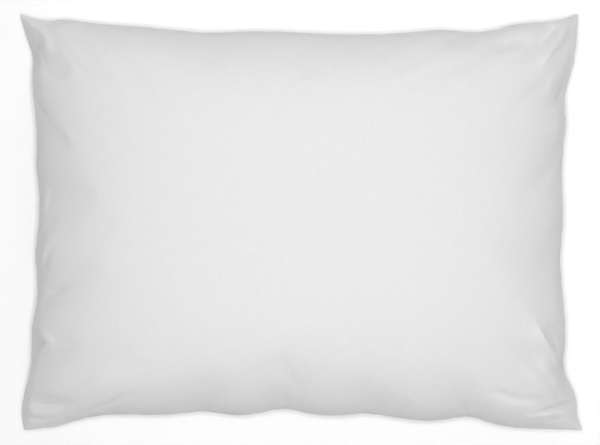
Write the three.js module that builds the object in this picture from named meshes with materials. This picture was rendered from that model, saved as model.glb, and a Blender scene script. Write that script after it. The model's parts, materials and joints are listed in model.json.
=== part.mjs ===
// A plain white cushion cover, filled, lying on its back with the front panel up.
// Millimetres, +Z up. +X runs to the right of the front panel and +Y to its top.
// The origin is on the resting plane, under the middle of the cover.
import * as THREE from "three";
import { mergeGeometries, mergeVertices } from "three/addons/utils/BufferGeometryUtils.js";

// Driving dimensions
const cutWidth = 660; // each panel between its seams, before filling
const cutHeight = 508;
const widthTakenUp = 45; // lost between the corner tips once the cover is filled
const heightTakenUp = 49;
const seamHeight = 80; // seam above the resting plane
const frontCrown = 95; // front panel above the seam, at its middle
const backCrown = 108; // back panel below the seam, before it settles flat
const settleDepth = 9; // height over which the back eases into the resting plane
const contactHeight = 0.5; // what would hover lower than this lies on the plane

// Crown sections: (1 - |s|^power)^root, with s running from -1 to 1 between the seams
const acrossCrown = { power: 2.6, root: 0.56 };
const upCrown = { power: 3.5, root: 0.43 };
const arcFade = 5; // how fast a side's even draw dies out towards the middle
const notchFade = 18; // what its stations add to that or take off
const liftFade = 12; // their wave up or down
const droopFade = 5; // and the droop of a corner tip
const seamClearance = 14; // folds rise from nothing over this distance from the seam

// Mesh of each panel, drawn closer together towards the seam
const columns = 54;
const rows = 40;
const evenShare = 0.42;

// Corner tips: how far each stands off an even rectangle, and how far it droops below the seam's height
const halfWidth = (cutWidth - widthTakenUp) / 2;
const halfHeight = (cutHeight - heightTakenUp) / 2;
const tips = {
  topLeft: { x: -halfWidth - 2.5, y: halfHeight, droop: 24 },
  topRight: { x: halfWidth - 2, y: halfHeight, droop: 26 },
  bottomLeft: { x: -halfWidth + 2, y: -halfHeight, droop: 27 },
  bottomRight: { x: halfWidth + 2.5, y: -halfHeight, droop: 23 },
};

// Even draw of each side at its middle
const arcs = { top: 22.5, bottom: 20, left: 20, right: 22 };

// Seam stations between the corner tips. along: from the middle of the side, to the right or up.
// draw: how far the seam is pulled in from the straight line between the tips. lift: its wave up or down.
const seams = {
  top: [
    { along: -281, draw: 7.2, lift: -2 },
    { along: -264, draw: 6.0, lift: 0 },
    { along: -218, draw: 12.0, lift: 1 },
    { along: -171, draw: 15.3, lift: 2 },
    { along: -103, draw: 22.0, lift: -2 },
    { along: -56, draw: 20.2, lift: 1 },
    { along: 32, draw: 23.4, lift: 0 },
    { along: 98, draw: 23.7, lift: 2 },
    { along: 126, draw: 20.8, lift: 1 },
    { along: 160, draw: 18.3, lift: -1 },
    { along: 191, draw: 21.1, lift: -4 },
    { along: 214, draw: 18.0, lift: -1 },
    { along: 232, draw: 12.9, lift: 2 },
    { along: 279, draw: 7.0, lift: 2 },
  ],
  bottom: [
    { along: -270, draw: 4.0, lift: -4 },
    { along: -240, draw: 14.2, lift: -1 },
    { along: -218, draw: 18.1, lift: 1 },
    { along: -150, draw: 18.5, lift: 2 },
    { along: -102, draw: 23.2, lift: -2 },
    { along: -84, draw: 19.4, lift: 0 },
    { along: -62, draw: 17.6, lift: 2 },
    { along: -19, draw: 26.5, lift: -4 },
    { along: 20, draw: 17.7, lift: 1 },
    { along: 43, draw: 18.0, lift: 2 },
    { along: 74, draw: 20.9, lift: -1 },
    { along: 104, draw: 15.7, lift: 1 },
    { along: 144, draw: 11.1, lift: 2 },
    { along: 182, draw: 16.9, lift: -4 },
    { along: 220, draw: 5.7, lift: 0 },
    { along: 245, draw: 2.8, lift: 0 },
  ],
  left: [
    { along: -208, draw: -3.8, lift: -4 },
    { along: -190, draw: 0.0, lift: -2 },
    { along: -150, draw: 9.9, lift: -4 },
    { along: -128, draw: 9.3, lift: 0 },
    { along: -80, draw: 18.0, lift: -2 },
    { along: -60, draw: 18.1, lift: -2 },
    { along: -34, draw: 15.5, lift: 2 },
    { along: 0, draw: 20.8, lift: 0 },
    { along: 36, draw: 20.9, lift: -2 },
    { along: 65, draw: 17.6, lift: 1 },
    { along: 90, draw: 19.4, lift: 0 },
    { along: 160, draw: 13.0, lift: 0 },
    { along: 180, draw: 13.5, lift: -11 },
    { along: 205, draw: 5.0, lift: -12 },
  ],
  right: [
    { along: -212, draw: 5.3, lift: -2 },
    { along: -196, draw: 4.9, lift: -1 },
    { along: -180, draw: 11.7, lift: -2 },
    { along: -161, draw: 21.1, lift: -4 },
    { along: -125, draw: 19.2, lift: 1 },
    { along: -85, draw: 21.4, lift: 2 },
    { along: -42, draw: 24.7, lift: -2 },
    { along: 5, draw: 20.3, lift: 2 },
    { along: 60, draw: 21.7, lift: -1 },
    { along: 110, draw: 15.7, lift: 2 },
    { along: 140, draw: 15.9, lift: -3 },
    { along: 165, draw: 8.3, lift: 0 },
    { along: 200, draw: 1.8, lift: 2 },
  ],
};

// Folds of the front panel. height: ridge above 0, trough below.
// left, right: half-widths on either hand, looking from the first point to the second.
const frontFolds = [
  { fromX: -299, fromY: 207, toX: -280, toY: 197, height: -6, left: 7, right: 8 },
  { fromX: -282, fromY: 218, toX: -243, toY: 164, height: 3, left: 14, right: 12 },
  { fromX: 294, fromY: 216, toX: 257, toY: 165, height: 4, left: 7, right: 8 },
  { fromX: 276, fromY: 205, toX: 236, toY: 172, height: -5, left: 12, right: 10 },
  { fromX: 232, fromY: 190, toX: 183, toY: 174, height: -4, left: 12, right: 12 },
  { fromX: 192, fromY: 207, toX: 149, toY: 197, height: -4, left: 9, right: 10 },
  { fromX: 290, fromY: 155, toX: 277, toY: 128, height: -6, left: 9, right: 8 },
  { fromX: -300, fromY: -199, toX: -252, toY: -195, height: -5, left: 9, right: 8 },
  { fromX: -302, fromY: -207, toX: -260, toY: -205, height: 4, left: 8, right: 8 },
  { fromX: -264, fromY: -204, toX: -218, toY: -190, height: 4, left: 10, right: 12 },
  { fromX: -222, fromY: -190, toX: -185, toY: -158, height: 3, left: 14, right: 16 },
  { fromX: -295, fromY: -148, toX: -280, toY: -130, height: -6, left: 9, right: 7 },
  { fromX: 290, fromY: -161, toX: 252, toY: -102, height: 6, left: 22, right: 6 },
  { fromX: 304, fromY: -199, toX: 275, toY: -206, height: -6, left: 7, right: 6 },
  { fromX: 279, fromY: -205, toX: 248, toY: -212, height: -4, left: 6, right: 6 },
  { fromX: 288, fromY: -209, toX: 242, toY: -215, height: 4, left: 6, right: 6 },
  { fromX: 191, fromY: -189, toX: 247, toY: -204, height: 3, left: 10, right: 10 },
  { fromX: 300, fromY: -189, toX: 287, toY: -175, height: -7, left: 10, right: 10 },
];

// Puckers that run straight in from the seam, on both panels
const puckers = [
  { side: "top", along: -281, depth: 1.2, reach: 18, width: 8 },
  { side: "top", along: 191, depth: 1.5, reach: 22, width: 10 },
  { side: "bottom", along: -102, depth: 1.2, reach: 18, width: 9 },
  { side: "bottom", along: -19, depth: 1.5, reach: 20, width: 10 },
  { side: "bottom", along: 182, depth: 1.5, reach: 22, width: 11 },
  { side: "left", along: -70, depth: 1, reach: 20, width: 11 },
  { side: "left", along: 36, depth: 1, reach: 20, width: 12 },
  { side: "right", along: -161, depth: 2, reach: 22, width: 10 },
  { side: "right", along: -42, depth: 1, reach: 20, width: 12 },
  { side: "right", along: 140, depth: 1.5, reach: 22, width: 10 },
];

const linen = new THREE.MeshStandardMaterial({ color: 0xebebeb, roughness: 0.9, metalness: 0 });

// A smooth curve of draw and lift along one side, from its first tip to its second
function seamCurve(stations, first, last, axis) {
  const ends = [
    { along: first[axis], draw: 0, lift: 0 },
    ...stations,
    { along: last[axis], draw: 0, lift: 0 },
  ];
  const places = ends.map((station) => station.along);
  const values = ends.flatMap((station) => [station.draw, station.lift]);
  return new THREE.CubicInterpolant(places, values, 2);
}

const seamCurves = {
  top: seamCurve(seams.top, tips.topLeft, tips.topRight, "x"),
  bottom: seamCurve(seams.bottom, tips.bottomLeft, tips.bottomRight, "x"),
  left: seamCurve(seams.left, tips.bottomLeft, tips.topLeft, "y"),
  right: seamCurve(seams.right, tips.bottomRight, tips.topRight, "y"),
};

function seamAt(side, along) {
  const [draw, lift] = seamCurves[side].evaluate(along);
  const half = side === "top" || side === "bottom" ? halfWidth : halfHeight;
  const arc = arcs[side] * Math.max(0, 1 - (along / half) ** 2);
  return { draw, lift, arc };
}

// Grid places from -1 to 1, closer together near the ends
function spread(even) {
  return evenShare * even + (1 - evenShare) * Math.sin((even * Math.PI) / 2);
}

function crown(section, s) {
  return Math.pow(Math.max(0, 1 - Math.pow(Math.abs(s), section.power)), section.root);
}

// Heights under the resting plane become the plane, through a short round
function settled(z) {
  if (z >= settleDepth) return z;
  const eased = Math.max(0, z + settleDepth) ** 2 / (4 * settleDepth);
  return eased < contactHeight ? 0 : eased;
}

// What is left of a side's wave at a place that lies share of the way to the far side
function fade(wave, share) {
  const near = 1 - share;
  return {
    draw: wave.arc * near ** arcFade + (wave.draw - wave.arc) * near ** notchFade,
    lift: wave.lift * near ** liftFade,
  };
}

// A value between the four corner tips, at right and up shares of the cover
function betweenTips(key, right, up) {
  const low = THREE.MathUtils.lerp(tips.bottomLeft[key], tips.bottomRight[key], right);
  const high = THREE.MathUtils.lerp(tips.topLeft[key], tips.topRight[key], right);
  return THREE.MathUtils.lerp(low, high, up);
}

// How far the corner tips pull the cover down at right and up shares of it
function droopAt(right, up) {
  const low = tips.bottomLeft.droop * ((1 - right) * (1 - up)) ** droopFade
    + tips.bottomRight.droop * (right * (1 - up)) ** droopFade;
  const high = tips.topLeft.droop * ((1 - right) * up) ** droopFade
    + tips.topRight.droop * (right * up) ** droopFade;
  return low + high;
}

// A point of the filled panel at s across and t up, before its folds. face: 1 front, -1 back
function filledPoint(s, t, face) {
  const right = (s + 1) / 2;
  const up = (t + 1) / 2;
  const evenY = betweenTips("y", right, up);
  const bottomWave = fade(seamAt("bottom", betweenTips("x", right, 0)), up);
  const topWave = fade(seamAt("top", betweenTips("x", right, 1)), 1 - up);
  const leftWave = fade(seamAt("left", evenY), right);
  const rightWave = fade(seamAt("right", evenY), 1 - right);
  const x = betweenTips("x", right, up) + leftWave.draw - rightWave.draw;
  const y = evenY + bottomWave.draw - topWave.draw;
  const lift = bottomWave.lift + topWave.lift + leftWave.lift + rightWave.lift - droopAt(right, up);
  const rise = crown(acrossCrown, s) * crown(upCrown, t) * (face > 0 ? frontCrown : -backCrown);
  return new THREE.Vector3(x, y, settled(seamHeight + lift + rise));
}

// 0 before the first share of a fold's run, 1 along it and 0 after its end
function runTaper(share) {
  return THREE.MathUtils.smoothstep(share, -0.2, 0.25) * (1 - THREE.MathUtils.smoothstep(share, 0.7, 1.2));
}

function foldHeight(x, y) {
  let height = 0;
  for (const fold of frontFolds) {
    const run = new THREE.Vector2(fold.toX - fold.fromX, fold.toY - fold.fromY);
    const place = new THREE.Vector2(x - fold.fromX, y - fold.fromY);
    const share = place.dot(run) / run.lengthSq();
    const across = run.cross(place) / run.length();
    const width = across > 0 ? fold.left : fold.right;
    height += fold.height * runTaper(share) * Math.exp(-((across / width) ** 2));
  }
  return height;
}

function puckerHeight(x, y) {
  const inward = { top: halfHeight - y, bottom: y + halfHeight, left: x + halfWidth, right: halfWidth - x };
  let height = 0;
  for (const pucker of puckers) {
    const along = pucker.side === "top" || pucker.side === "bottom" ? x : y;
    const seam = seamAt(pucker.side, pucker.along);
    const share = (inward[pucker.side] - seam.draw) / pucker.reach;
    const across = (along - pucker.along) / pucker.width;
    height -= pucker.depth * runTaper(share) * Math.exp(-(across ** 2));
  }
  return height;
}

// One panel of the filled cover as an open sheet that ends on the seam
function panel(face) {
  const sheet = new THREE.PlaneGeometry(2, 2, columns, rows);
  if (face < 0) sheet.rotateY(Math.PI);
  const points = sheet.attributes.position;
  const clear = [];
  for (let i = 0; i < points.count; i++) {
    const s = spread(points.getX(i));
    const t = spread(points.getY(i));
    const fromSeam = Math.min((1 - Math.abs(s)) * halfWidth, (1 - Math.abs(t)) * halfHeight);
    clear.push(THREE.MathUtils.smoothstep(fromSeam, 0, seamClearance));
    points.setXYZ(i, ...filledPoint(s, t, face));
  }
  sheet.computeVertexNormals();
  const point = new THREE.Vector3();
  const outward = new THREE.Vector3();
  for (let i = 0; i < points.count; i++) {
    point.fromBufferAttribute(points, i);
    outward.fromBufferAttribute(sheet.attributes.normal, i);
    const folds = puckerHeight(point.x, point.y) + (face > 0 ? foldHeight(point.x, point.y) : 0);
    point.addScaledVector(outward, clear[i] * folds);
    points.setXYZ(i, point.x, point.y, Math.max(0, point.z));
  }
  return sheet;
}

// The filled cover: both panels joined along the seam, standing over the origin
function filledCover() {
  const both = mergeGeometries([panel(1), panel(-1)]);
  both.deleteAttribute("normal");
  both.deleteAttribute("uv");
  const closed = mergeVertices(both, 1e-3);
  closed.computeBoundingBox();
  const middle = closed.boundingBox.getCenter(new THREE.Vector3());
  closed.translate(-middle.x, -middle.y, -closed.boundingBox.min.z);
  closed.computeVertexNormals();
  return closed;
}

const cover = new THREE.Mesh(filledCover(), linen);
cover.name = "cushion_cover";

const part = new THREE.Group();
part.add(cover);

export default part;
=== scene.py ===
import json
import math

import bmesh
import bpy
import numpy as np
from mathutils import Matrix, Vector
from mathutils.bvhtree import BVHTree
from mathutils.kdtree import KDTree

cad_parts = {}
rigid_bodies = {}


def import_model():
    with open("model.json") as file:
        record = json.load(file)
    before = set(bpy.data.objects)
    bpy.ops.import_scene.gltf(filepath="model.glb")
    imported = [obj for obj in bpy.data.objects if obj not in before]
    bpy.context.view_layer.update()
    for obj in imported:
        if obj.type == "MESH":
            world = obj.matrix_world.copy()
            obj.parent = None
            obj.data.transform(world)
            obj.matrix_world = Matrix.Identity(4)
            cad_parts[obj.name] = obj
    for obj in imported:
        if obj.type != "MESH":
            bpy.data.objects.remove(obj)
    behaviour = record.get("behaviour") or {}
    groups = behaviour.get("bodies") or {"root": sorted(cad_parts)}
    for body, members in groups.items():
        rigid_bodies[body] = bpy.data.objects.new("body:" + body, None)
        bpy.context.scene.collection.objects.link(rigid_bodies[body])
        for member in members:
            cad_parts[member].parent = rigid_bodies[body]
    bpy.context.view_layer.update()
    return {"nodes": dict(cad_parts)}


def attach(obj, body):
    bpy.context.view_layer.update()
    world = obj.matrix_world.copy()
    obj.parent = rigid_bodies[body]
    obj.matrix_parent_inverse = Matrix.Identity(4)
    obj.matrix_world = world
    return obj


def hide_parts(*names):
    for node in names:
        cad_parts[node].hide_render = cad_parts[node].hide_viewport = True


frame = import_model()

mm = 0.001
tiny = 1e-9                                   # metres, in place of nothing where a length divides


# Small helpers
def deselectAll():
    if bpy.context.object and bpy.context.object.mode != "OBJECT":
        bpy.ops.object.mode_set(mode="OBJECT")
    bpy.ops.object.select_all(action="DESELECT")


def makeActive(piece):
    deselectAll()
    piece.select_set(True)
    bpy.context.view_layer.objects.active = piece


def editMesh(piece, selectMode):
    makeActive(piece)
    bpy.ops.object.mode_set(mode="EDIT")
    bpy.ops.mesh.select_mode(type=selectMode)


def objectMode():
    bpy.ops.object.mode_set(mode="OBJECT")


# Leaves the mesh in edit mode with only the wanted points or edges selected
def editOnly(piece, selectMode, wanted):
    editMesh(piece, selectMode)
    bpy.ops.mesh.select_all(action="DESELECT")
    objectMode()
    parts = piece.data.vertices if selectMode == "VERT" else piece.data.edges
    parts.foreach_set("select", wanted)
    editMesh(piece, selectMode)


def pointsOf(mesh):
    flat = np.empty(len(mesh.vertices) * 3)
    mesh.vertices.foreach_get("co", flat)
    return flat.reshape(-1, 3)


def normalsOf(mesh):
    flat = np.empty(len(mesh.vertices) * 3)
    mesh.vertex_normals.foreach_get("vector", flat)
    return flat.reshape(-1, 3)


def setPoints(mesh, points):
    mesh.vertices.foreach_set("co", points.ravel())
    mesh.update()


def ease(share):
    share = np.clip(share, 0, 1)
    return share * share * (3 - 2 * share)


# Camera: straight above the front panel, as in the photograph
cameraView = {
    "imageWidth": 600,                  # pixels
    "imageMiddle": (300.0, 222.5),
    "tipsMiddle": (301.1, 222.2),       # where the middle of the four corner tips falls
    "pixelSize": 1.104 * mm,            # at the height of the corner tips
    "tipHeight": 57 * mm,
    "distance": 2.8,                    # camera above the tips, metres
    "sensor": 36.0,                     # width in mm
}


def addCamera(values):
    right = values["imageMiddle"][0] - values["tipsMiddle"][0]
    down = values["imageMiddle"][1] - values["tipsMiddle"][1]
    place = Vector((right, -down, 0)) * values["pixelSize"]
    place.z = values["tipHeight"] + values["distance"]
    bpy.ops.object.camera_add(location=place, rotation=(0, 0, 0))
    camera = bpy.context.object
    camera.name = "photoCamera"
    camera.data.sensor_width = values["sensor"]
    imageSpan = values["imageWidth"] * values["pixelSize"]
    camera.data.lens = values["sensor"] * values["distance"] / imageSpan
    bpy.context.scene.camera = camera


addCamera(cameraView)
print("camera set")


# Cover: two panels of quads that meet on the seam, with their threads laid out flat
panels = {
    "mergeDistance": 0.02 * mm,
    "pairAngle": math.pi,               # triangles may pair up across any angle
    "gridWeight": 1.5,                  # how strongly they pair up into a regular grid
    "seamCrease": 1.0,                  # keeps the seam a line when the panels are smoothed
    "backOffset": 0.7,                  # metres between the two panels in the thread layout
    "smoothLevels": 1,                  # subdivision before the filling, and again after it
}


def quadCopy(nodeName, pieceName, values):
    mesh = frame["nodes"][nodeName].data.copy()
    mesh.materials.clear()
    piece = bpy.data.objects.new(pieceName, mesh)
    bpy.context.scene.collection.objects.link(piece)
    editMesh(piece, "VERT")
    bpy.ops.mesh.customdata_custom_splitnormals_clear()
    bpy.ops.mesh.select_all(action="SELECT")
    bpy.ops.mesh.remove_doubles(threshold=values["mergeDistance"])
    bpy.ops.mesh.tris_convert_to_quads(
        face_threshold=values["pairAngle"],
        shape_threshold=values["pairAngle"],
        topology_influence=values["gridWeight"],
    )
    bpy.ops.mesh.mark_sharp(clear=True)
    objectMode()
    return piece


def markSeam(piece, values):
    edges = np.array([edge.vertices[:] for edge in piece.data.edges])
    tips = np.flatnonzero(np.bincount(edges.ravel()) == 2)       # only a corner tip has two edges
    editOnly(piece, "EDGE", np.isin(edges, tips).any(axis=1))
    bpy.ops.mesh.loop_multi_select(ring=False)
    bpy.ops.mesh.mark_seam(clear=False)
    bpy.ops.transform.edge_crease(value=values["seamCrease"])
    objectMode()
    return len(tips)


# Greatest for the face in the middle of the panel on that side
def centrality(face, side):
    return side * face.normal.z - face.calc_center_median().xy.length


def layOutThreads(piece, values):
    piece.data.uv_layers.new(name="threads")
    for side in (1, -1):
        editMesh(piece, "FACE")
        bpy.ops.mesh.select_all(action="DESELECT")
        body = bmesh.from_edit_mesh(piece.data)
        uv = body.loops.layers.uv.active
        middle = max(body.faces, key=lambda face: centrality(face, side))
        middle.select = True
        body.faces.active = middle
        shift = 0 if side > 0 else values["backOffset"]
        for loop in middle.loops:
            loop[uv].uv = (loop.vert.co.x + shift, loop.vert.co.y)
        bpy.ops.mesh.select_linked(delimit={"SEAM"})
        for face in body.faces:
            for loop in face.loops:
                loop[uv].select = face.select
        bmesh.update_edit_mesh(piece.data)
        bpy.ops.uv.follow_active_quads(mode="LENGTH_AVERAGE")
        objectMode()


def smoothOnce(piece, values):
    makeActive(piece)
    smooth = piece.modifiers.new("smooth", "SUBSURF")
    smooth.levels = smooth.render_levels = values["smoothLevels"]
    bpy.ops.object.modifier_apply(modifier=smooth.name)


def seamEdges(piece):
    return np.array([edge.vertices[:] for edge in piece.data.edges if edge.use_seam])


# For every point, the nearest point of the seam and how far away it is
def nearestOnSeam(piece):
    points = pointsOf(piece.data)
    onSeam = np.unique(seamEdges(piece))
    tree = KDTree(len(onSeam))
    for index in onSeam:
        tree.insert(points[index], int(index))
    tree.balance()
    found = [tree.find(point) for point in points]
    nearest = np.array([row[1] for row in found])
    away = np.array([row[2] for row in found])
    return nearest, away


cover = quadCopy("cushion_cover", "cushionCover", panels)
odd = sum(len(face.vertices) != 4 for face in cover.data.polygons)
print("panels copied:", len(cover.data.polygons), "faces,", odd, "not quads")
print("seam marked between", markSeam(cover, panels), "corner tips")
layOutThreads(cover, panels)
smoothOnce(cover, panels)


# Filling: pressure from inside, with the cloth a little long where it meets the shorter seam
filling = {
    "pressure": 4.0,
    "frames": 20,
    "quality": 6,
    "mass": 0.25,
    "tension": 20.0,
    "shear": 8.0,
    "bending": 0.6,
    "slackAtSeam": 0.02,                # extra length of the cloth beside the seam
    "slackInMiddle": 0.003,
    "slackReach": 70 * mm,
    "restHeight": 0.4 * mm,             # what lies lower than this rests, and stays
    "mostMove": 10 * mm,
}


def fillCover(piece, values):
    before = pointsOf(piece.data)
    onSeam = np.unique(seamEdges(piece))
    away = nearestOnSeam(piece)[1]
    resting = np.flatnonzero(before[:, 2] < values["restHeight"])
    held = piece.vertex_groups.new(name="held")
    held.add(np.union1d(onSeam, resting).tolist(), 1.0, "REPLACE")
    slack = piece.vertex_groups.new(name="slack")
    for index, weight in enumerate(ease(1 - away / values["slackReach"])):
        slack.add([index], weight, "REPLACE")
    makeActive(piece)
    cloth = piece.modifiers.new("filling", "CLOTH")
    settings = cloth.settings
    settings.quality = values["quality"]
    settings.mass = values["mass"]
    settings.tension_stiffness = settings.compression_stiffness = values["tension"]
    settings.shear_stiffness = values["shear"]
    settings.bending_stiffness = values["bending"]
    settings.use_pressure = True
    settings.uniform_pressure_force = values["pressure"]
    settings.vertex_group_mass = held.name
    settings.vertex_group_shrink = slack.name
    settings.shrink_min = -values["slackInMiddle"]
    settings.shrink_max = -values["slackAtSeam"]
    settings.effector_weights.gravity = 0
    cloth.collision_settings.use_collision = False
    cloth.point_cache.frame_start = 1
    cloth.point_cache.frame_end = values["frames"]
    for step in range(1, values["frames"] + 1):
        bpy.context.scene.frame_set(step)
    bpy.ops.object.modifier_apply(modifier=cloth.name)
    bpy.context.scene.frame_set(1)
    move = pointsOf(piece.data) - before
    length = np.linalg.norm(move, axis=1)
    share = values["mostMove"] * np.tanh(length / values["mostMove"]) / np.maximum(length, tiny)
    after = before + move * share[:, None]
    after[:, 2] = np.maximum(after[:, 2], 0)
    setPoints(piece.data, after)
    mean, most = length.mean() / mm, length.max() / mm
    print("filled: moved", round(mean, 2), "mm on average,", round(most, 2), "at most")


fillCover(cover, filling)
smoothOnce(cover, panels)


# Folds of the front panel, laid over the filled form
foldColumns = ("path", "height", "left", "right", "spread", "crisp", "rise", "fall", "clear")
# path: points in mm, as the camera above sees them at the height of the tips
# height: in mm, a ridge above 0 and a trough below; left, right: half-widths on either hand along the path
# spread: its width at the path's end over that at its start; crisp: 0 round to 1 sharp
# rise, fall: shares of the path over which it grows and dies out
# clear: mm from the seam over which it starts; at 0 it takes the seam and the rim of the back with it
folds = [
    # top left
    (((-309, 228), (-302, 201), (-295, 179), (-293, 153)), -10, 9, 10, 1, 0.1, 0.4, 0.55, 0),
    (((-296, 216), (-287, 199), (-281, 186), (-268, 168)), 6, 14, 8, 1, 0.0, 0.3, 0.6, 2),
    (((-296, 186), (-293, 195), (-290, 199), (-283, 198)), -3.5, 4, 5, 0.8, 0.2, 0.4, 0.45, 4),
    (((-288, 169), (-277, 163), (-264, 155)), -2, 6, 6, 1, 0.1, 0.3, 0.6, 4),
    (((-284, 221), (-275, 218), (-264, 217)), -2, 5, 5, 1, 0.1, 0.3, 0.6, 5),
    # top right
    (((281, 223), (275, 209), (260, 189), (244, 171)), -7, 9, 14, 1, 0.0, 0.2, 0.7, 6),
    (((296, 221), (288, 206), (275, 188), (262, 168)), 3.5, 7, 5, 1, 0.1, 0.2, 0.4, 4),
    (((264, 204), (235, 199), (200, 187)), -5, 12, 16, 1, 0.0, 0.35, 0.45, 5),
    (((307, 231), (292, 225), (269, 221)), -6, 13, 5, 0.3, 0.4, 0.0, 0.95, 0),
    (((189, 209), (174, 204), (153, 199)), -4, 6, 5, 1, 0.2, 0.3, 0.6, 5),
    (((301, 188), (291, 148), (289, 104)), -8, 9, 9, 1, 0.1, 0.45, 0.5, 0),
    (((291, 153), (287, 146), (283, 137), (276, 125)), -5, 6, 5, 0.7, 0.3, 0.3, 0.6, 4),
    (((288, 166), (281, 145), (275, 122)), 5, 7, 16, 1, 0.0, 0.45, 0.5, 2),
    # bottom left
    (((-296, -81), (-298, -136), (-304, -183)), -8, 11, 9, 1, 0.1, 0.5, 0.45, 0),
    (((-293, -112), (-287, -122), (-281, -132), (-287, -141), (-295, -153)),
     4.5, 12, 5, 1, 0.6, 0.35, 0.35, 2),
    (((-299, -134), (-290, -134), (-282, -132)), -5, 8, 9, 0.5, 0.3, 0.3, 0.5, 4),
    (((-300, -154), (-311, -200), (-308, -240)), -10, 12, 12, 1, 0.1, 0.5, 0.5, 0),
    (((-309, -201), (-290, -202), (-268, -201), (-244, -195)), -9, 16, 9, 0.8, 0.2, 0.4, 0.6, 4),
    (((-266, -203), (-244, -194), (-218, -174), (-193, -159)), 3, 12, 10, 1.6, 0.0, 0.4, 0.5, 1),
    (((-305, -214), (-290, -217), (-269, -219)), -2.5, 4, 5, 1, 0.3, 0.2, 0.5, 3),
    # bottom right
    (((291, -164), (281, -147), (270, -129), (257, -105)), 7, 24, 4, 1, 0.8, 0.2, 0.5, 3),
    (((289, -152), (284, -141), (276, -128), (266, -110)), -9, 4.5, 9, 0.7, 0.3, 0.3, 0.6, 8),
    (((290, -154), (303, -186), (309, -207), (312, -240)), -9, 9, 18, 1, 0.1, 0.35, 0.5, 0),
    (((259, -143), (277, -172), (287, -192)), 5, 14, 40, 1, 0.0, 0.5, 0.3, 2),
    (((308, -201), (292, -203), (277, -207), (255, -214)), -6.5, 5, 9, 0.6, 0.2, 0.3, 0.6, 4),
    (((292, -210), (269, -213), (239, -218)), 2, 5, 5.5, 1, 0.1, 0.3, 0.4, 2),
    (((292, -216), (264, -221)), -1.5, 4, 4, 1, 0.1, 0.3, 0.4, 3),
    (((202, -182), (236, -195), (270, -198)), -3, 8, 8, 1, 0.1, 0.4, 0.4, 4),
    # left side
    (((-289, 8), (-293, -44), (-292, -99)), -9, 9, 9, 1, 0.1, 0.45, 0.45, 0),
    (((-292, -46), (-286, -31), (-277, -16), (-262, -4)), 1, 7, 7, 1.3, 0.0, 0.0, 0.6, 2),
    (((-289, -69), (-286, -57), (-281, -37), (-271, -25)), -4.5, 7.5, 8, 0.8, 0.2, 0.25, 0.5, 4),
    (((-287, 8), (-284, 22), (-278, 40)), 3, 6, 7, 1, 0.1, 0.3, 0.6, 3),
    (((-285, -78), (-271, -76), (-251, -77)), -1.6, 8, 9, 1, 0.0, 0.5, 0.5, 6),
    (((-288, 121), (-277, 105), (-266, 89)), 1.8, 10, 10, 1, 0.0, 0.3, 0.5, 3),     # softens a crease
    (((-264, 103), (-256, 96), (-249, 89)), 0.5, 6, 7, 1, 0.0, 0.5, 0.5, 4),
    # bottom side
    (((-19, -207), (-17, -189)), -3.5, 7, 7, 1, 0.3, 0.0, 0.6, 0),
    (((-102, -212), (-105, -196)), -3, 6, 6, 1, 0.3, 0.0, 0.6, 0),
    (((74, -212), (69, -198)), -3, 6, 6, 1, 0.3, 0.0, 0.6, 0),
    (((182, -212), (178, -194)), -3.5, 7, 7, 1, 0.3, 0.0, 0.6, 0),
    (((112, -187), (124, -197), (135, -207)), 0.8, 6, 6, 1, 0.0, 0.4, 0.5, 3),
]
foldMesh = {
    "margin": 3 * mm,                   # finer mesh this far beyond a fold
    "mostReach": 13 * mm,               # and no further than this from its path
    "cuts": 1,                          # of each edge there
    "evenOut": 0.5,                     # how far its points then move towards their neighbours' middle
    "rim": 12 * mm,                     # how far a dip of the seam reaches into the back panel
    "mostDepth": 0.5,                   # a trough's depth, as a share of the way down to the back panel
    "lookFrom": 0.05 * mm,              # that way is measured from this far below the front panel
}


# For every place, its distance from the path, the hand it lies on and its share of the path's length
def alongPath(places, path):
    gap = np.full(len(places), np.inf)
    hand = np.zeros(len(places))
    share = np.zeros(len(places))
    lengths = np.linalg.norm(np.diff(path, axis=0), axis=1)
    passed = 0
    for start, end, length in zip(path[:-1], path[1:], lengths):
        run = (end - start) / length
        offset = places - start
        along = np.clip(offset @ run, 0, length)
        distance = np.linalg.norm(offset - along[:, None] * run, axis=1)
        closer = distance < gap
        gap = np.where(closer, distance, gap)
        hand = np.where(closer, run[0] * offset[:, 1] - run[1] * offset[:, 0], hand)
        share = np.where(closer, (passed + along) / lengths.sum(), share)
        passed += length
    return gap, hand, share


def nearness(points, view):
    return (view["distance"] / (view["distance"] + view["tipHeight"] - points[:, 2]))[:, None]


def seenFrom(points, view):
    return points[:, :2] * nearness(points, view)


def onFront(points, nearest):
    return points[:, 2] >= points[nearest, 2]


def refineAlong(piece, rows, view, values):
    points = pointsOf(piece.data)
    nearest, away = nearestOnSeam(piece)
    front = onFront(points, nearest)
    seen = seenFrom(points, view)
    near = np.zeros(len(points), bool)
    for row in rows:
        fold = dict(zip(foldColumns, row))
        gap = alongPath(seen, np.array(fold["path"]) * mm)[0]
        reach = max(fold["left"], fold["right"]) * max(fold["spread"], 1) * mm + values["margin"]
        reach = min(reach, values["mostReach"])
        near |= (gap < reach) & (front | ((away < values["rim"]) & (fold["clear"] == 0)))
    editOnly(piece, "VERT", near)
    bpy.ops.mesh.subdivide(number_cuts=values["cuts"], ngon=False)
    objectMode()
    finer = np.empty(len(piece.data.vertices), bool)
    piece.data.vertices.foreach_get("select", finer)
    finer[seamEdges(piece)] = False                   # the seam keeps its line
    editOnly(piece, "VERT", finer)
    bpy.ops.mesh.vertices_smooth(factor=values["evenOut"])
    objectMode()


def roomBelow(piece, points, wanted, values):
    tree = BVHTree.FromObject(piece, bpy.context.evaluated_depsgraph_get())
    room = np.full(len(points), np.inf)
    for index in np.flatnonzero(wanted):
        start = Vector(points[index]) - Vector((0, 0, values["lookFrom"]))
        distance = tree.ray_cast(start, Vector((0, 0, -1)))[3]
        room[index] = distance or 0.0
    return room


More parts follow.
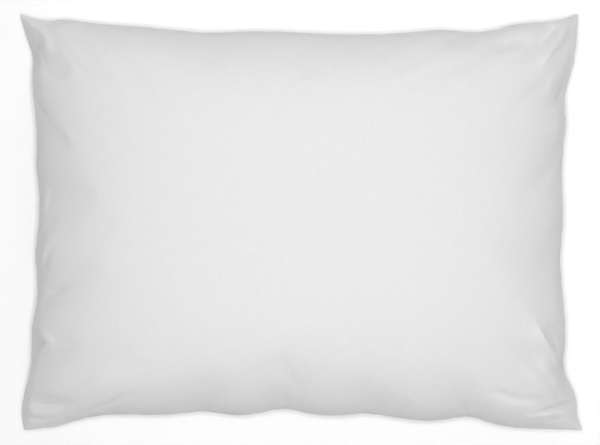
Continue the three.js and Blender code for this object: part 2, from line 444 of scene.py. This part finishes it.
def layFolds(piece, rows, view, values):
    points = pointsOf(piece.data)
    nearest, away = nearestOnSeam(piece)
    front = onFront(points, nearest)
    seen = seenFrom(points, view)
    height = np.zeros(len(points))
    dip = np.zeros(len(points))
    for row in rows:
        fold = dict(zip(foldColumns, row))
        gap, hand, share = alongPath(seen, np.array(fold["path"]) * mm)
        width = np.where(hand > 0, fold["left"], fold["right"]) * mm
        across = np.clip(gap / width / (1 + (fold["spread"] - 1) * share), 0, 1)
        section = (1 - across) ** 2 * (1 + 2 * (1 - fold["crisp"]) * across)
        grown = ease(share / fold["rise"]) if fold["rise"] else 1.0
        dying = ease((1 - share) / fold["fall"])
        rise = fold["height"] * mm * section * grown * dying
        if fold["clear"]:
            height += rise * ease(away / (fold["clear"] * mm))
        else:
            dip += rise
    room = roomBelow(piece, points, front & (height < 0), values)
    height = np.maximum(height, -values["mostDepth"] * room)
    points[:, 2] += np.where(front, height + dip, dip * ease(1 - away / values["rim"]))
    points[:, 2] = np.maximum(points[:, 2], 0)
    points[:, :2] = seen / nearness(points, view)      # along the line of sight, so the outline stays
    setPoints(piece.data, points)
    print("folds laid:", len(rows), "on", len(piece.data.polygons), "faces")


refineAlong(cover, folds, cameraView, foldMesh)
layFolds(cover, folds, cameraView, foldMesh)


# Seam: the panels swell on either side of the sewn line and pucker along it
seam = {
    "grooveDepth": 1.2 * mm,
    "grooveWidth": 2.2 * mm,
    "swellHeight": 0.7 * mm,
    "swellPlace": 5.0 * mm,
    "swellWidth": 3.0 * mm,
    "puckerHeight": 0.55 * mm,
    "puckerReach": 14 * mm,
    "puckerPitches": (17 * mm, 26 * mm, 41 * mm),
    "tipFade": 30 * mm,
}


def lengthAlongSeam(points, edges):
    beside = {}
    for first, second in edges.tolist():
        beside.setdefault(first, []).append(second)
        beside.setdefault(second, []).append(first)
    start = max(beside, key=lambda index: points[index, 0] + points[index, 1])
    along = np.zeros(len(points))
    before, here, passed = None, start, 0.0
    while True:
        after = next(index for index in beside[here] if index != before)
        passed += np.linalg.norm(points[after] - points[here])
        if after == start:
            return along
        along[after] = passed
        before, here = here, after


def sewSeam(piece, values):
    points = pointsOf(piece.data)
    edges = seamEdges(piece)
    nearest, away = nearestOnSeam(piece)
    along = lengthAlongSeam(points, edges)[nearest]
    wave = sum(
        np.sin(2 * math.pi * along / pitch + turn)
        for turn, pitch in enumerate(values["puckerPitches"])
    )
    line = points[np.unique(edges)]
    tips = np.array([line[np.argmax(line @ (x, y, 0))] for x in (-1, 1) for y in (-1, 1)])
    fromTip = np.linalg.norm(points[:, None, :] - tips[None, :, :], axis=2).min(axis=1)
    calm = ease(fromTip / values["tipFade"])
    groove = values["grooveDepth"] * np.exp(-(away / values["grooveWidth"]) ** 2)
    swell = values["swellHeight"] * np.exp(-((away - values["swellPlace"]) / values["swellWidth"]) ** 2)
    reach = ease(1 - away / values["puckerReach"]) * ease(away / values["grooveWidth"])
    puckers = values["puckerHeight"] * wave / len(values["puckerPitches"]) * reach
    moved = points + normalsOf(piece.data) * (calm * (swell + puckers - groove))[:, None]
    moved[:, 2] = np.maximum(moved[:, 2], 0)
    setPoints(piece.data, moved)
    print("seam sewn:", round(along.max(), 2), "m round")


sewSeam(cover, seam)


# Cloth: white cotton in a fine plain weave
clothFinish = {
    "light": (0.825, 0.825, 0.825, 1),
    "dark": (0.685, 0.685, 0.685, 1),
    "threadPitch": 0.5 * mm,
    "slubLength": 16 * mm,
    "slubWidth": 0.8 * mm,
    "slubDetail": 2.0,
    "slubMost": 2.0,                    # warp and weft slubs together, each up to 1
    "slubTone": 0.4,                    # how much the slubs lighten the cloth
    "threadGapShade": 0.3,                   # and how much painted shade darkens it between the threads
    "roughness": (0.84, 0.94),
    "crinkleSize": 11 * mm,
    "crinkleDetail": 3.0,
    "crinkleHeight": 0.12 * mm,
    "weaveHeight": 0.06 * mm,
    "slubHeight": 0.5,                  # as a share of the weave's height
    "sheen": 0.12,
    "sheenRoughness": 0.5,
    "specular": 0.25,
}


def makeCloth(values):
    cloth = bpy.data.materials.new("coverCloth")
    cloth.use_nodes = True
    nodes, links = cloth.node_tree.nodes, cloth.node_tree.links
    shader = nodes["Principled BSDF"]
    shader.inputs["Sheen Weight"].default_value = values["sheen"]
    shader.inputs["Sheen Roughness"].default_value = values["sheenRoughness"]
    shader.inputs["Specular IOR Level"].default_value = values["specular"]

    def add(kind, label, **settings):
        node = nodes.new("ShaderNode" + kind)
        node.label = label
        for name, value in settings.items():
            setattr(node, name, value)
        return node

    def compute(operation, label, *terms):
        node = add("Math", label, operation=operation)
        for socket, term in zip(node.inputs, terms):
            if isinstance(term, bpy.types.NodeSocket):
                links.new(term, socket)
            else:
                socket.default_value = term
        return node.outputs[0]

    threads = add("UVMap", "threads", uv_map="threads").outputs["UV"]
    split = add("SeparateXYZ", "warp and weft")
    links.new(threads, split.inputs[0])

    # Over and under: warp threads lie on top in one square of the weave, weft threads in the next
    turn = math.pi / values["threadPitch"]
    half = 0.5
    warp = compute("SINE", "warp", compute("MULTIPLY", "warp count", split.outputs["X"], turn))
    weft = compute("SINE", "weft", compute("MULTIPLY", "weft count", split.outputs["Y"], turn))
    over = compute("MULTIPLY_ADD", "warp on top", compute("MULTIPLY", "squares", warp, weft), half, half)
    warpRound = compute("ABSOLUTE", "warp round", warp)
    weftRound = compute("ABSOLUTE", "weft round", weft)
    rise = compute("SUBTRACT", "warp over weft", warpRound, weftRound)
    weave = compute("MULTIPLY_ADD", "weave", rise, over, weftRound)

    # Slubs: thicker and thinner lengths of thread, along both ways of the cloth
    def slubs(label, lengthwise):
        long, thin = 1 / values["slubLength"], 1 / values["slubWidth"]
        stretch = add("Mapping", label)
        stretch.inputs["Scale"].default_value = (long, thin, 1) if lengthwise == "X" else (thin, long, 1)
        links.new(threads, stretch.inputs["Vector"])
        noise = add("TexNoise", label, noise_dimensions="2D")
        noise.inputs["Scale"].default_value = 1.0
        noise.inputs["Detail"].default_value = values["slubDetail"]
        links.new(stretch.outputs["Vector"], noise.inputs["Vector"])
        return noise.outputs["Fac"]

    slub = compute("ADD", "slubs", slubs("weft slubs", "X"), slubs("warp slubs", "Y"))
    crinkle = add("TexNoise", "crinkle", noise_dimensions="2D")
    crinkle.inputs["Scale"].default_value = 1 / values["crinkleSize"]
    crinkle.inputs["Detail"].default_value = values["crinkleDetail"]
    links.new(threads, crinkle.inputs["Vector"])

    # Colour follows the threads and the slubs, darker between the threads as painted shade; roughness
    # follows the slubs
    # painted shade: the cloth is darker where the threads dip and lighter on their crowns
    threadGapShade = compute("MULTIPLY", "painted shade between threads", weave, values["threadGapShade"])
    tone = compute("MULTIPLY_ADD", "slub tone and painted gap shade", slub, values["slubTone"], threadGapShade)
    tint = add("Mix", "cloth colour", data_type="RGBA")
    links.new(tone, tint.inputs["Factor"])
    tint.inputs["A"].default_value = values["dark"]
    tint.inputs["B"].default_value = values["light"]
    links.new(tint.outputs["Result"], shader.inputs["Base Color"])
    rough = add("MapRange", "cloth roughness")
    rough.inputs["From Max"].default_value = values["slubMost"]
    rough.inputs["To Min"].default_value, rough.inputs["To Max"].default_value = values["roughness"]
    links.new(slub, rough.inputs["Value"])
    links.new(rough.outputs["Result"], shader.inputs["Roughness"])

    # Height: soft crinkles under the threads
    soft = add("Bump", "crinkles")
    soft.inputs["Distance"].default_value = values["crinkleHeight"]
    links.new(crinkle.outputs["Fac"], soft.inputs["Height"])
    fine = add("Bump", "threads")
    fine.inputs["Distance"].default_value = values["weaveHeight"]
    threadHeight = compute("MULTIPLY_ADD", "thread height", slub, values["slubHeight"], weave)
    links.new(threadHeight, fine.inputs["Height"])
    links.new(soft.outputs["Normal"], fine.inputs["Normal"])
    links.new(fine.outputs["Normal"], shader.inputs["Normal"])
    return cloth


cover.data.materials.append(makeCloth(clothFinish))
makeActive(cover)
bpy.ops.object.shade_smooth()
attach(cover, "root")
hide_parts("cushion_cover")
print("cover dressed:", len(cover.data.polygons), "faces")


# Studio: a pale floor and soft light from above and the sides
studio = {
    "floorSize": 14.0,
    "floorColour": (0.97, 0.97, 0.97, 1),
    "floorRoughness": 0.9,
    "worldColour": (1, 1, 1, 1),
    "worldStrength": 0.23,
    "lamps": [
        {"place": (0.0, 0.0, 2.9), "size": 0.4, "power": 52.5},    # by the camera, so its shadow is hidden
        {"place": (1.8, 0.0, 1.8), "size": 1.2, "power": 4.0},
        {"place": (0.0, 1.8, 1.8), "size": 1.2, "power": 4.0},
        {"place": (0.0, -1.8, 1.8), "size": 1.2, "power": 4.2},
        {"place": (0.3, 2.2, 0.9), "size": 1.0, "power": 5.0},
    ],
}


def addFloor(values):
    deselectAll()
    bpy.ops.mesh.primitive_plane_add(size=values["floorSize"], location=(0, 0, 0))
    floor = bpy.context.object
    floor.name = "floor"
    pale = bpy.data.materials.new("paleFloor")
    pale.use_nodes = True
    shader = pale.node_tree.nodes["Principled BSDF"]
    shader.inputs["Base Color"].default_value = values["floorColour"]
    shader.inputs["Roughness"].default_value = values["floorRoughness"]
    floor.data.materials.append(pale)


def addLight(values):
    world = bpy.data.worlds.new("studioWorld")
    bpy.context.scene.world = world
    world.use_nodes = True
    background = world.node_tree.nodes["Background"]
    background.inputs["Color"].default_value = values["worldColour"]
    background.inputs["Strength"].default_value = values["worldStrength"]
    for lamp in values["lamps"]:
        bpy.ops.object.light_add(type="AREA", location=lamp["place"])
        light = bpy.context.object
        light.data.size = lamp["size"]
        light.data.energy = lamp["power"]
        light.rotation_euler = Vector(lamp["place"]).to_track_quat("Z", "Y").to_euler()


addFloor(studio)
addLight(studio)
bpy.context.scene.view_settings.view_transform = "Standard"
print("studio set")
